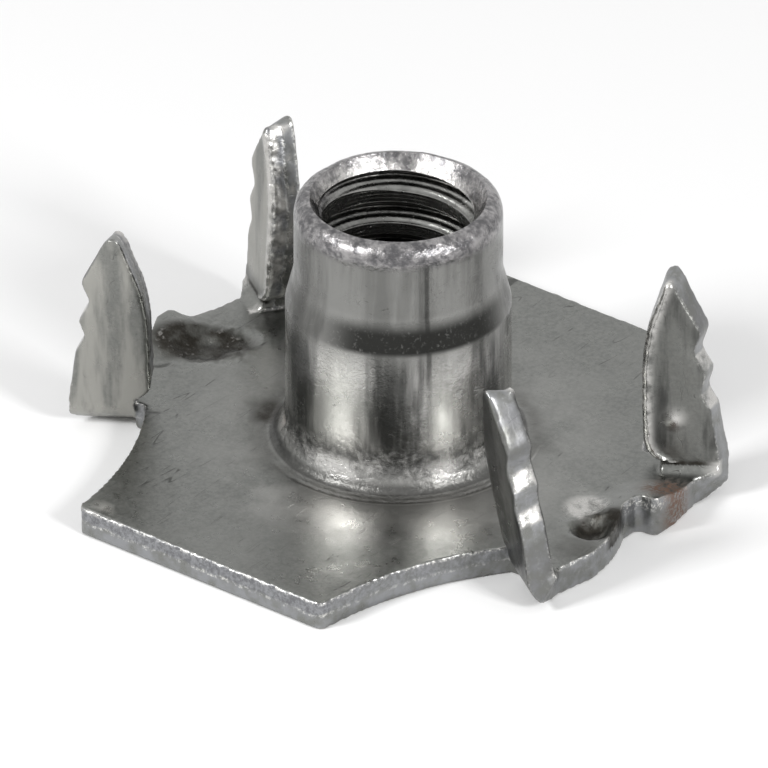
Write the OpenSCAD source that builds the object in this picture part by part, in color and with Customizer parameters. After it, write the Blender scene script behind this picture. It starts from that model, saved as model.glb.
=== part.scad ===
// Four-prong tee nut for wood, stamped and drawn from one piece of sheet steel.
// Millimetres. The origin is on the thread's axis, in the plane of the flange's underside.
// +Z runs up the barrel, +X along the two straight sheared sides of the flange.

/* [Sheet] */
// Thickness of the steel sheet
sheet_t = 1.05; // [0.9:0.05:1.3]

/* [Barrel] */
// Diameter of the plain bore, the crest diameter of the 1/4-20 thread
bore_d = 5.2; // [5:0.05:5.3]
// Outside diameter of the lower barrel, which sits in the pilot hole
barrel_d = 7.8; // [7.6:0.05:8]
// Outside diameter of the necked upper barrel
neck_d = 7.2; // [7:0.05:7.4]
// Height of the rim above the flange's underside
barrel_h = 10.4; // [9.5:0.1:11.5]
// Height at which the lower barrel starts to narrow
shoulder_z = 6.4; // [5:0.1:6.8]
// Length of the cone between the lower barrel and the neck
shoulder_len = 1.2; // [0.6:0.1:1.6]
// Radius of the rounded outer edge of the rim
rim_round = 0.6; // [0.3:0.05:0.7]
// Diameter of the countersunk mouth inside the rim
mouth_d = 6.1; // [5.8:0.05:6.2]
// Depth of the countersunk mouth
mouth_depth = 0.75; // [0.5:0.05:1]
// Radius of the drawn funnel under the bore
funnel_r = 1.2; // [0.8:0.05:1.4]
// Height of the drawn fillet at the barrel's foot
foot_h = 1.5; // [1.2:0.05:1.8]
// Width of the drawn fillet at the barrel's foot
foot_w = 0.7; // [0.6:0.05:0.8]

/* [Flange] */
// Length of the flange from end to end, along X
flange_len = 20.5; // [19.5:0.1:21.5]
// Distance between the two straight sheared sides, along Y
flange_w = 21.55; // [20.5:0.05:22.5]
// Half the width of each end's straight middle
end_flat = 2.3; // [1.8:0.1:3]
// How far the ends fall back on either side of their middle
end_taper = 10; // [0:1:16]
// Radius of the four concave sides
scallop_r = 13; // [12:0.25:14]
// Distance of a scallop's centre from the middle of the flange, along X
scallop_x = 18.3; // [18:0.1:18.8]
// How far the four scallops sit off the middle of the flange, along X
scallop_shift = -0.2; // [-0.4:0.05:0.4]
// Distance of a scallop's centre from the axis, along Y
scallop_y = 11.6; // [11.2:0.1:12]
// Radius of the corners between the straight and the concave sides
corner_r = 0.35; // [0.2:0.05:0.6]

/* [Parting marks] */
// How far the parting tongue stands out at one end, and is cut in at the other
tongue_out = 0.75; // [0.6:0.05:0.9]
// Width of the parting tongue
tongue_w = 3.75; // [3.2:0.05:4.5]
// Radius of the tongue's sloping side
tongue_slope_r = 6; // [5:0.25:8]
// Where the tongue's step lies along Y
tongue_step_y = 1.25; // [0.8:0.05:1.6]
// Radius of the two rounded corners of that step
step_r = 0.25; // [0.1:0.05:0.3]
// How far the parting punch raised a lip at each end
lip_h = 0.4; // [0.2:0.05:0.5]
// Radius of a lip at its foot
lip_foot_r = 2.3; // [1.8:0.1:2.6]
// Radius of a lip at its top
lip_top_r = 1; // [0.6:0.1:1.4]
// Where the lip at the cut-in end has its centre, along X
notch_lip_x = 10.1; // [9.8:0.1:10.4]
// Where the lip at the cut-in end has its centre, along Y
notch_lip_y = 0.9; // [0.5:0.1:1.2]
// Where the lip on the tongue has its centre, along X
tongue_lip_x = -11; // [-11.2:0.1:-10.6]
// Where the lip on the tongue has its centre, along Y
tongue_lip_y = 0.5; // [0.1:0.1:0.9]
// Radius of the rounded dimple that the punch left inside each lip
dimple_r = 1.6; // [1.2:0.1:2]
// Depth of the dimples
dimple_depth = 0.25; // [0.1:0.05:0.4]
// Where the dimple at the cut-in end has its centre, along X
notch_dimple_x = 8.8; // [8.6:0.1:9.2]
// Where the dimple at the cut-in end has its centre, along Y
notch_dimple_y = -0.7; // [-1:0.1:0]
// Where the dimple at the tongue has its centre, along X
tongue_dimple_x = -8.9; // [-9.2:0.1:-8.6]
// Where the dimple at the tongue has its centre, along Y
tongue_dimple_y = 0; // [-0.5:0.1:0.5]

/* [Prongs] */
// Direction of each fold line, measured from X
fold_angle = 34; // [30:1:38]
// Where the fold line starts, along X
fold_x = 8.5; // [8.3:0.02:8.7]
// Where the fold line starts, along Y
fold_y = 2.78; // [2.6:0.02:3]
// Inside radius of the fold
fold_r = 0.45; // [0.3:0.05:0.7]
// How much the bend thins the sheet on each of its faces
fold_thinning = 0.02; // [0.01:0.01:0.04]
// How far each prong has sprung back from upright, anticlockwise from the +X +Y one
prong_lean = [6, 1, 7, 8]; // [0:1:12]
// How far each prong leans sideways, toward its barbs, in the same order
prong_sway = [-1.8, 0, 1, 0]; // [-3:0.1:3]
// How far a prong's faces turn from its root to its tip
prong_twist = 11; // [0:1:15]
// Angle of the fold over which the flange's end runs out to the full width of the prong
fold_runout = 45; // [35:1:65]
// Width of a prong above its fold
prong_w = 2.9; // [2.75:0.05:3.1]
// Length of a prong from the end of its fold to its tip
prong_len = 6.9; // [6.7:0.1:7.5]
// Radius of the rounded lower corner of the smooth edge
root_r = 0.8; // [0.5:0.05:0.9]
// How far the flange reaches out under each of those corners, in the same order
root_reach = [1.4, 1.4, 1.1, 0.7]; // [0.6:0.1:1.6]
// Radius of the smooth edge where it turns in toward the tip
edge_r = 7.1; // [6.5:0.1:8]
// How far the smooth edge turns in toward the tip
edge_turn = 18; // [14:1:20]
// Height at which the smooth edge starts to turn
edge_y = 3; // [2.8:0.1:3.2]
// How far the sheared barbs slant back through the sheet, from the outer face to the inner
shear_slant = 0.3; // [0.1:0.05:0.4]
// Radius of the blunt tip
tip_r = 0.33; // [0.2:0.01:0.4]
// Radius of a barb's rounded point
barb_r = 0.35; // [0.2:0.05:0.5]
// How far each barb reaches from the smooth edge, from the top one down
barb_reach = [2.35, 2.48, 2.65]; // [2.3:0.01:2.7]
// Height of the top barb above the end of the fold
top_barb_y = 4.85; // [4.7:0.05:5]
// Height of the middle barb above the end of the fold
middle_barb_y = 3.25; // [3.15:0.05:3.4]
// Height of the bottom barb above the end of the fold
bottom_barb_y = 1.9; // [1.7:0.05:2]
// How far the notches under the top and the middle barb reach from the smooth edge
notch_reach = [2.08, 2.29]; // [2:0.01:2.3]
// Height of the notch under the top barb above the end of the fold
upper_notch_y = 4.1; // [4:0.05:4.2]
// Height of the notch under the middle barb above the end of the fold
lower_notch_y = 2.65; // [2.55:0.05:2.75]

/* [Hidden] */
$fn = 96;
// How far a cut runs past the face that it opens
eps = 0.01;
// How far a prong's start lies inside the end of its fold, at the bottom and at both edges
lap = 0.05;
barrel_r = barrel_d / 2;
neck_r = neck_d / 2;
bore_r = bore_d / 2;
neck_z = shoulder_z + shoulder_len;
fold_axis_z = sheet_t + fold_r;
// Where the flange's tapered end crosses the start of the fold, measured along the fold
end_w = (flange_len / 2 - fold_x - (fold_y - end_flat) * tan(end_taper))
    / (cos(fold_angle) + sin(fold_angle) * tan(end_taper));
// Where the rounded lower corner of the smooth edge meets the fold
root_turn = 75;
root_x = root_r * (1 - cos(root_turn));

function arc(centre, r, from, to, steps = 6) = [
    for (i = [0:steps])
        let (a = from + (to - from) * i / steps)
            centre + r * [cos(a), sin(a)]
];

// Moves its child from the first quadrant to quadrant i, counted anticlockwise from 0
module to_quadrant(i) {
    flip_x = i == 1 || i == 2 ? 1 : 0;
    flip_y = i >= 2 ? 1 : 0;
    mirror([flip_x, 0, 0]) mirror([0, flip_y, 0]) children();
}

// Puts its child at the start of the fold line, with X along the fold and Y out of the bend
module at_fold() {
    translate([fold_x, fold_y]) rotate(fold_angle) children();
}

// The parting tongue, left of the line x = 0: it slopes out along an arc to a rounded step
module tongue_2d() {
    start_y = tongue_step_y - tongue_w;
    difference() {
        polygon(concat(
            [[eps, start_y], [eps, tongue_step_y + step_r]],
            arc([-step_r, tongue_step_y + step_r], step_r, 360, 270),
            arc([step_r - tongue_out, tongue_step_y - step_r], step_r, 90, 180),
            [[-tongue_out, start_y]]
        ));
        translate([-tongue_slope_r, start_y]) circle(tongue_slope_r);
    }
}

// A concave side, cut only as far as the fold line, with its corner at the straight side.
// shift moves the arc along X and leaves the fold where it is.
module scallop_2d(shift) {
    centre = [scallop_x + shift, scallop_y];
    corner_y = flange_w / 2 - corner_r;
    corner_turn = asin((scallop_y - corner_y) / (scallop_r + corner_r));
    corner = centre - (scallop_r + corner_r) * [cos(corner_turn), sin(corner_turn)];
    intersection() {
        translate(centre) circle(scallop_r, $fn = 180);
        at_fold() translate([-scallop_r, 0]) square([2 * scallop_r, scallop_r]);
    }
    difference() {
        translate([corner.x, corner_y + corner_r * sin(corner_turn)]) square(2 * corner_r);
        translate(corner) circle(corner_r);
    }
}

module flange_2d() {
    half = [flange_len, flange_w] / 2;
    side_x = half.x - (half.y - end_flat) * tan(end_taper);
    difference() {
        union() {
            polygon([[half.x, end_flat], [side_x, half.y], [-side_x, half.y], [-half.x, end_flat],
                [-half.x, -end_flat], [-side_x, -half.y], [side_x, -half.y], [half.x, -end_flat]]);
            translate([-flange_len / 2, 0]) tongue_2d();
        }
        for (i = [0:3])
            to_quadrant(i) scallop_2d(i == 0 || i == 3 ? scallop_shift : -scallop_shift);
        translate([flange_len / 2, 0]) tongue_2d();
    }
    for (i = [0:3]) to_quadrant(i) root_2d(root_reach[i]);
}

// The flange's edge under the rounded lower corner of a prong, sloping back to the concave side
module root_2d(reach) {
    back_len = 1.12;
    back_turn = 148;
    start = [root_x + lap, reach];
    back = start + back_len * [cos(back_turn), sin(back_turn)];
    at_fold() polygon([start, back, [-root_r, 0], [-root_r, -root_r], [start.x, -root_r]]);
}

// The flange with the lip that the parting punch raised at each end, and the dimple inside it
module flange() {
    dimple_z = sheet_t + dimple_r - dimple_depth;
    difference() {
        union() {
            linear_extrude(sheet_t) flange_2d();
            intersection() {
                linear_extrude(sheet_t + lip_h) flange_2d();
                union() {
                    translate([notch_lip_x, notch_lip_y, sheet_t]) lip_cone();
                    translate([tongue_lip_x, tongue_lip_y, sheet_t]) lip_cone();
                }
            }
        }
        translate([notch_dimple_x, notch_dimple_y, dimple_z]) sphere(dimple_r);
        translate([tongue_dimple_x, tongue_dimple_y, dimple_z]) sphere(dimple_r);
    }
}

// Cone of a raised lip, carried half way down into the sheet
module lip_cone() {
    slope = (lip_foot_r - lip_top_r) / lip_h;
    depth = sheet_t / 2;
    translate([0, 0, -depth])
        cylinder(h = depth + lip_h, r1 = lip_foot_r + slope * depth, r2 = lip_top_r);
}

// The drawn fillet at the barrel's foot: a long upper arc running into a short lower one
module foot_2d() {
    turn = 30;
    inner_r = neck_r - rim_round;
    top_z = sheet_t + foot_h;
    lower_r = (foot_w - foot_h * tan(turn / 2)) / (1 - tan(turn / 2));
    upper_r = (foot_h - lower_r) / sin(turn) + lower_r;
    joint = [barrel_r + upper_r * (1 - cos(turn)), top_z - upper_r * sin(turn)];
    polygon(concat(
        [[inner_r, top_z], [inner_r, sheet_t / 2], [barrel_r + foot_w, sheet_t / 2]],
        arc(joint + lower_r * [cos(turn), sin(turn)], lower_r, 270, 180 + turn, 5),
        arc([barrel_r + upper_r, top_z], upper_r, 180 + turn, 180, 5)
    ));
}

// Half section of the barrel, before its bore is opened
module barrel_2d() {
    polygon(concat(
        [[0, 0], [barrel_r, 0], [barrel_r, shoulder_z], [neck_r, neck_z]],
        arc([neck_r - rim_round, barrel_h - rim_round], rim_round, 0, 90, 8),
        [[0, barrel_h]]
    ));
    foot_2d();
}

// Half section of the opening: drawn funnel, plain bore and countersunk mouth
module bore_2d() {
    mouth_z = barrel_h - mouth_depth;
    square([bore_r, barrel_h]);
    difference() {
        translate([0, -eps]) square([bore_r + funnel_r, funnel_r + eps]);
        translate([bore_r + funnel_r, funnel_r]) circle(funnel_r);
    }
    polygon([[0, mouth_z], [bore_r, mouth_z], [mouth_d / 2, barrel_h], [mouth_d / 2, barrel_h + eps],
        [0, barrel_h + eps]]);
}

// A prong above its fold, laid flat: x from its smooth edge, y from the end of the fold.
// The arcs are the rounded points of the barbs and the tip, from the bottom barb up and back down.
module prong_2d(sway) {
    edge_dir = [sin(edge_turn), cos(edge_turn)];
    edge_end = [edge_r * (1 - cos(edge_turn)), edge_y + edge_r * sin(edge_turn)];
    edge_len = (prong_len - tip_r - edge_end.y + tip_r * edge_dir.x) / edge_dir.y;
    tip = edge_end + edge_len * edge_dir + tip_r * [edge_dir.y, -edge_dir.x];
    outline = concat(
        [[prong_w - lap, -lap]],
        arc([barb_reach[2] - barb_r, bottom_barb_y], barb_r, 10, 50, 3),
        [[notch_reach[1], lower_notch_y]],
        arc([barb_reach[1] - barb_r, middle_barb_y], barb_r, -35, 35, 4),
        [[notch_reach[0], upper_notch_y]],
        arc([barb_reach[0] - barb_r, top_barb_y], barb_r, -35, 30, 4),
        arc(tip, tip_r, 30, 180 - edge_turn, 6),
        arc([edge_r, edge_y], edge_r, 180 - edge_turn, 180, 8),
        arc([root_r, root_r], root_r, 180, 180 + root_turn, 6),
        [[root_x + lap, -lap]]
    );
    polygon([for (point = outline) [point.x + point.y * tan(sway), point.y]]);
}

// The fold under a prong. At its outer end the flange's end line is wrapped round the bend:
// it runs out from end_w to the full width of the prong as the sheet turns upright.
module fold(bend) {
    run = prong_w - end_w;
    cut_len = run + lap;
    cut_side = fold_axis_z + lap;
    inner_r = fold_r + fold_thinning;
    outer_r = fold_axis_z - fold_thinning;
    translate([0, 0, fold_axis_z]) rotate([0, 90, 0]) difference() {
        rotate_extrude(angle = bend)
            polygon([[inner_r, root_x], [outer_r, root_x], [outer_r, prong_w],
                [inner_r, prong_w - shear_slant]]);
        translate([0, 0, end_w])
            linear_extrude(cut_len, twist = -fold_runout * cut_len / run, slices = 20, segments = 4)
                translate([0, -cut_side]) square(cut_side);
    }
}

// Slants its child so that it narrows from the outer face of the sheet to the inner
module slanted() {
    slope = shear_slant / sheet_t;
    multmatrix([[1, 0, -slope, shear_slant], [0, 1, 0, 0], [0, 0, 1, -sheet_t], [0, 0, 0, 1]])
        children();
}

// Flat sheet at the end of the fold that twists slightly along the prong
module twisted_sheet() {
    translate([prong_w / 2, -lap, sheet_t / 2]) rotate([-90, 0, 0])
        linear_extrude(prong_len + 2 * lap, twist = prong_twist, slices = 24, segments = 4)
            square([2 * prong_w, sheet_t], center = true);
}

module prong(lean, sway) {
    bend = 90 - lean;
    at_fold() {
        fold(bend);
        translate([0, 0, fold_axis_z]) rotate([bend, 0, 0]) translate([0, 0, -fold_axis_z])
            intersection() {
                twisted_sheet();
                translate([0, 0, -sheet_t]) linear_extrude(3 * sheet_t) prong_2d(sway);
                slanted() linear_extrude(3 * sheet_t) prong_2d(sway);
            }
    }
}

module tee_nut() {
    color("silver") difference() {
        union() {
            flange();
            rotate_extrude() barrel_2d();
            for (i = [0:3]) to_quadrant(i) prong(prong_lean[i], prong_sway[i]);
        }
        rotate_extrude() bore_2d();
    }
}

tee_nut();
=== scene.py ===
import math
from types import SimpleNamespace

import bpy
import numpy as np
from mathutils import Matrix, Vector, noise


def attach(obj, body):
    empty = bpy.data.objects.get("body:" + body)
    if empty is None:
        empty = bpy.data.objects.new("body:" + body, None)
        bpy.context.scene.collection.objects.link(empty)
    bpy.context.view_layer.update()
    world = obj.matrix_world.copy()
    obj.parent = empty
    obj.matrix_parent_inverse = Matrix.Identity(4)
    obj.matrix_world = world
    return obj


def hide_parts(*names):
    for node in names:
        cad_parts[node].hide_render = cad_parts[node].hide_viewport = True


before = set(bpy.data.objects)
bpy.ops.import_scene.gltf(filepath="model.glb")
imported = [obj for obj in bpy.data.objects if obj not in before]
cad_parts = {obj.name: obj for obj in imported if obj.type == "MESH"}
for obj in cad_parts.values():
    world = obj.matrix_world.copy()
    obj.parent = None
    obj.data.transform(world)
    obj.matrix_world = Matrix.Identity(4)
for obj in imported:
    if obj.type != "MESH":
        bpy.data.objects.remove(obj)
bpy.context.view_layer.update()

# ---------------------------------------------------------------- the view
# The camera looks down at the flange from over one of its corners, through a long lens.
# One pixel of its picture covers about a thirtieth of a millimetre of the nut.
CAMERA_TURN = math.radians(38.2)
CAMERA_RISE = math.radians(30.7)
CAMERA_FAR = 1.0
PIXELS_PER_METRE = 29000
FRAME_PIXELS = 768
SENSOR_MM = 36
AXIS_PIXEL = (398.4, 457.5)
to_camera = Vector((math.sin(CAMERA_TURN) * math.cos(CAMERA_RISE),
                    -math.cos(CAMERA_TURN) * math.cos(CAMERA_RISE), math.sin(CAMERA_RISE)))
lens = bpy.data.cameras.new("camera")
lens.sensor_width = SENSOR_MM
lens.lens = PIXELS_PER_METRE * CAMERA_FAR * SENSOR_MM / FRAME_PIXELS
lens.shift_x = 0.5 - AXIS_PIXEL[0] / FRAME_PIXELS
lens.shift_y = AXIS_PIXEL[1] / FRAME_PIXELS - 0.5
camera = bpy.data.objects.new("camera", lens)
bpy.context.scene.collection.objects.link(camera)
camera.location = CAMERA_FAR * to_camera
camera.rotation_euler = to_camera.to_track_quat("Z", "Y").to_euler()
bpy.context.scene.camera = camera

# ---------------------------------------------------------------- the flange
# The flange is the flat part of the stamping: 1.05 mm steel sheet, 20.5 by 21.55 mm.
# Its two long sides were sheared from the strip, four round punches cut its concave sides,
# and the parting punch left a tongue at one end and a notch at the other. Modelled in mm.
SHEET = 1.05
END_X, SIDE_Y = 10.25, 10.775
END_FLAT, END_TAPER = 2.3, math.radians(10)
SCALLOP_R, SCALLOP_X, SCALLOP_Y, SCALLOP_SHIFT, SCALLOP_STEPS = 13.0, 18.3, 11.6, -0.2, 40
CORNER_R, CORNER_STEPS = 0.35, 6
TONGUE_OUT, TONGUE_W, TONGUE_STEP_Y, TONGUE_SLOPE_R, STEP_R = 0.75, 3.75, 1.25, 6.0, 0.25
# Each prong folds up along a line that starts here, mirrored into its own quarter, and the
# flange reaches a little past the fold at the prong's lower corner before it cuts back.
FOLD_X, FOLD_Y, FOLD_ANGLE = 8.5, 2.78, math.radians(34)
ROOT_R, ROOT_TURN = 0.8, 75
ROOT_X = ROOT_R * (1 - math.cos(math.radians(ROOT_TURN)))
ROOT_REACH = (1.4, 1.4, 1.1, 0.7)
ROOT_BACK = Vector((-0.95, 0.6))
# The punches rolled the upper rim of two concave sides, and the shear the long sides' feet.
ROLL_W, ROLL_FROM_X, ROLL_TO_X, ROLL_FROM_Y = 0.34, 4.4, 8.3, 3.6
UNDER_ROUND = 0.3


def arc(x, y, radius, start, end, steps):
    """Points along an arc about x, y, from the start angle to the end angle in degrees."""
    turns = np.linspace(math.radians(start), math.radians(end), steps + 1)
    return [(x + radius * math.cos(t), y + radius * math.sin(t)) for t in turns]


def drawn_face(name, outline):
    """A flat face whose outline is drawn from point to point and then filled."""
    bpy.ops.object.select_all(action="DESELECT")
    bpy.ops.mesh.primitive_plane_add(size=1)
    piece = bpy.context.object
    piece.name = name
    bpy.ops.object.mode_set(mode="EDIT")
    bpy.ops.mesh.merge(type="CENTER")
    here = Vector((0, 0, 0))
    for number, point in enumerate(outline):
        step = Vector((point[0], point[1], 0)) - here
        here += step
        if number == 0:
            bpy.ops.transform.translate(value=step)
        else:
            bpy.ops.mesh.extrude_vertices_move(TRANSFORM_OT_translate={"value": step})
    bpy.ops.mesh.select_all(action="SELECT")
    bpy.ops.mesh.edge_face_add()
    bpy.ops.object.mode_set(mode="OBJECT")
    return piece


def thicken(piece, height):
    """Extrudes a flat face upwards into a closed plate."""
    bpy.ops.object.select_all(action="DESELECT")
    piece.select_set(True)
    bpy.context.view_layer.objects.active = piece
    bpy.ops.object.mode_set(mode="EDIT")
    bpy.ops.mesh.select_all(action="SELECT")
    bpy.ops.mesh.extrude_region_move(TRANSFORM_OT_translate={"value": (0, 0, height)})
    bpy.ops.mesh.select_all(action="SELECT")
    bpy.ops.mesh.normals_make_consistent(inside=False)
    bpy.ops.object.mode_set(mode="OBJECT")


def round_edges(piece, wanted, width):
    """Bevels the edges whose two ends both answer to wanted(point)."""
    bpy.ops.object.select_all(action="DESELECT")
    piece.select_set(True)
    bpy.context.view_layer.objects.active = piece
    bpy.ops.object.mode_set(mode="EDIT")
    bpy.ops.mesh.select_all(action="DESELECT")
    bpy.ops.mesh.select_mode(type="EDGE")
    bpy.ops.object.mode_set(mode="OBJECT")
    points = [v.co for v in piece.data.vertices]
    for edge in piece.data.edges:
        edge.select = all(wanted(points[v]) for v in edge.vertices)
    bpy.ops.object.mode_set(mode="EDIT")
    bpy.ops.mesh.bevel(offset=width, segments=4, profile=0.5, clamp_overlap=True)
    bpy.ops.mesh.select_mode(type="VERT")
    bpy.ops.object.mode_set(mode="OBJECT")


def mirrored(quadrant):
    """The signs that take the first quadrant to this one, counted anticlockwise."""
    return (-1 if quadrant in (1, 2) else 1, -1 if quadrant in (2, 3) else 1)


fold_along = Vector((math.cos(FOLD_ANGLE), math.sin(FOLD_ANGLE)))
fold_out = Vector((-math.sin(FOLD_ANGLE), math.cos(FOLD_ANGLE)))
fold_start = Vector((FOLD_X, FOLD_Y))
END_W = ((END_X - FOLD_X - (FOLD_Y - END_FLAT) * math.tan(END_TAPER))
         / (math.cos(FOLD_ANGLE) + math.sin(FOLD_ANGLE) * math.tan(END_TAPER)))


def flange_corner(quadrant):
    """One quarter of the outline, from the end's straight middle to the long side."""
    shift = SCALLOP_SHIFT if quadrant in (0, 3) else -SCALLOP_SHIFT
    centre = Vector((SCALLOP_X + shift, SCALLOP_Y))
    fold_end = fold_start + END_W * fold_along
    root = fold_start + ROOT_X * fold_along
    root_end = root + ROOT_REACH[quadrant] * fold_out
    back = root_end + ROOT_BACK.x * fold_along + ROOT_BACK.y * fold_out
    scallop_turn = math.degrees(math.asin((back.y - centre.y) / SCALLOP_R))
    corner_y = SIDE_Y - CORNER_R
    turn = math.asin((SCALLOP_Y - corner_y) / (SCALLOP_R + CORNER_R))
    corner_x = centre.x - (SCALLOP_R + CORNER_R) * math.cos(turn)
    scallop = arc(centre.x, centre.y, SCALLOP_R, 180 - scallop_turn, 180 + math.degrees(turn),
                  SCALLOP_STEPS)
    corner = arc(corner_x, corner_y, CORNER_R, math.degrees(turn), 90, CORNER_STEPS)
    quarter = [(END_X, END_FLAT), tuple(fold_end), tuple(root), tuple(root_end)]
    quarter += scallop + corner
    flip = mirrored(quadrant)
    quarter = [(x * flip[0], y * flip[1]) for x, y in quarter]
    return quarter if quadrant in (0, 2) else quarter[::-1]


def tongue_side(end_x):
    """The parting line at one end: out along an arc to a step with rounded corners."""
    low = TONGUE_STEP_Y - TONGUE_W
    reach = math.degrees(math.acos(1 - TONGUE_OUT / TONGUE_SLOPE_R))
    slope = arc(-TONGUE_SLOPE_R, low, TONGUE_SLOPE_R, 0, reach, 8)
    outer = arc(STEP_R - TONGUE_OUT, TONGUE_STEP_Y - STEP_R, STEP_R, 180, 90, 4)
    inner = arc(-STEP_R, TONGUE_STEP_Y + STEP_R, STEP_R, 270, 360, 4)
    return [(end_x + x, y) for x, y in slope + outer + inner]


outline = (flange_corner(0) + flange_corner(1) + tongue_side(-END_X)[::-1]
           + flange_corner(2) + flange_corner(3) + tongue_side(END_X))
flange = drawn_face("flange", outline)
thicken(flange, SHEET)


def on_rolled_side(point):
    """The upper rim of the two concave sides that the punch entered from above."""
    return point.z > SHEET / 2 and point.x * point.y > 0 \
        and ROLL_FROM_X < abs(point.x) < ROLL_TO_X \
        and ROLL_FROM_Y < abs(point.y) < SIDE_Y - CORNER_R


def on_long_side_foot(point):
    """The lower rim of the two long sides, which the shear pulled down."""
    return point.z < SHEET / 2 and abs(point.y) > SIDE_Y - 0.01


round_edges(flange, on_rolled_side, ROLL_W)
round_edges(flange, on_long_side_foot, UNDER_ROUND)

# ---------------------------------------------------------------- the prongs
# Four prongs, 2.9 mm wide, were lanced from the sheet and bent up about their folds.
# One edge is smooth and turns in to a blunt tip; the other was sheared into three barbs.
# Each has sprung back from upright by its own few degrees, and twists a little to its tip.
FOLD_R = 0.45
FOLD_AXIS = SHEET + FOLD_R
# The cut beside the fold runs out over the first 45 of its 84 degrees.
FOLD_LEN, FOLD_RUNOUT, FOLD_TURN = 1.45, 45, 84
# Degrees, counted anticlockwise from the prong at +X +Y.
PRONG_LEAN = (6, 1, 7, 8)
PRONG_SWAY = (-1.8, 0, 1, 0)
PRONG_TWIST = math.radians(11)
PRONG_W, PRONG_LEN = 2.9, 7.0
EDGE_R, EDGE_TURN, EDGE_Y = 7.1, 18, 3.0
TIP_R, BARB_R, NOTCH_R = 0.33, 0.35, 0.28
BARB_REACH, BARB_Y = (2.35, 2.48, 2.65), (4.85, 3.25, 1.9)
NOTCH_REACH, NOTCH_Y = (2.08, 2.29), (4.1, 2.65)
SHEAR_SLANT = 0.3
TIP_BEVEL, TIP_BEVEL_LEN = 0.4, 1.5
ROLLED_EDGE = 0.26
IN_FLANGE, IN_FLANGE_STEP = 0.6, 0.35
BEND_CUTS, BLADE_CUT, CROSS_CUT = 20, 0.3, 0.4


def prong_edges():
    """The two edges of a flat prong from the end of its fold: barbed up, smooth down."""
    turn = math.radians(EDGE_TURN)
    end = (EDGE_R * (1 - math.cos(turn)), EDGE_Y + EDGE_R * math.sin(turn))
    run = (PRONG_LEN - TIP_R - end[1] + TIP_R * math.sin(turn)) / math.cos(turn)
    tip = (end[0] + run * math.sin(turn) + TIP_R * math.cos(turn),
           end[1] + run * math.cos(turn) - TIP_R * math.sin(turn))
    barbed = arc(BARB_REACH[2] - BARB_R, BARB_Y[2], BARB_R, 10, 50, 3)
    barbed += arc(NOTCH_REACH[1] + NOTCH_R, NOTCH_Y[1], NOTCH_R, 225, 135, 4)
    barbed += arc(BARB_REACH[1] - BARB_R, BARB_Y[1], BARB_R, -40, 40, 4)
    barbed += arc(NOTCH_REACH[0] + NOTCH_R, NOTCH_Y[0], NOTCH_R, 225, 135, 4)
    barbed += arc(BARB_REACH[0] - BARB_R, BARB_Y[0], BARB_R, -35, 30, 4)
    barbed += arc(tip[0], tip[1], TIP_R, 30, 75, 2)
    smooth = arc(tip[0], tip[1], TIP_R, 90, 180 - EDGE_TURN, 3)
    smooth += arc(EDGE_R, EDGE_Y, EDGE_R, 180 - EDGE_TURN, 180, 8)
    smooth += arc(ROOT_R, ROOT_R, ROOT_R, 180, 180 + ROOT_TURN, 6)
    return barbed, smooth


def in_plan(x, y):
    """A drawn point and the mesh's own point at that place give the same pair."""
    return round(x, 4), round(y, 4)


def blank_prong():
    """A prong before it is bent: y runs from inside the flange, over the fold, to the tip."""
    barbed, smooth = prong_edges()
    run_y = FOLD_LEN * FOLD_RUNOUT / FOLD_TURN
    start = [(ROOT_X, 0), (ROOT_X, -IN_FLANGE), (END_W - IN_FLANGE_STEP, -IN_FLANGE), (END_W, 0)]
    barbed = [(PRONG_W, run_y), (PRONG_W, FOLD_LEN)] + [(x, y + FOLD_LEN) for x, y in barbed]
    smooth = [(x, y + FOLD_LEN) for x, y in smooth]
    blank = drawn_face("prong", start + barbed + smooth)
    thicken(blank, SHEET)
    slanted = {in_plan(x, y) for x, y in barbed}
    for vertex in blank.data.vertices:
        if vertex.co.z > SHEET / 2 and in_plan(vertex.co.x, vertex.co.y) in slanted:
            vertex.co.x -= SHEAR_SLANT
    past_tip = 3
    rolled = {in_plan(x, y) for x, y in smooth[past_tip:]}
    round_edges(blank, lambda point: point.z > SHEET / 2
                and in_plan(point.x, point.y) in rolled, ROLLED_EDGE)
    for vertex in blank.data.vertices:
        near_tip = vertex.co.y - FOLD_LEN - PRONG_LEN + TIP_BEVEL_LEN
        if near_tip > 0:
            vertex.co.y -= TIP_BEVEL * near_tip / TIP_BEVEL_LEN * vertex.co.z / SHEET
    bpy.ops.object.mode_set(mode="EDIT")
    cuts = list(np.linspace(0, FOLD_LEN, BEND_CUTS + 1))
    cuts += list(np.arange(FOLD_LEN + BLADE_CUT, FOLD_LEN + PRONG_LEN, BLADE_CUT))
    for y in cuts:
        bpy.ops.mesh.select_all(action="SELECT")
        bpy.ops.mesh.bisect(plane_co=(0, y, 0), plane_no=(0, 1, 0))
    for x in np.arange(CROSS_CUT, PRONG_W, CROSS_CUT):
        bpy.ops.mesh.select_all(action="SELECT")
        bpy.ops.mesh.bisect(plane_co=(x, 0, 0), plane_no=(1, 0, 0))
    bpy.ops.object.mode_set(mode="OBJECT")
    return blank


def points_of(piece):
    """The mesh's points as an array of rows."""
    flat = np.empty(len(piece.data.vertices) * 3)
    piece.data.vertices.foreach_get("co", flat)
    return flat.reshape(-1, 3)


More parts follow.
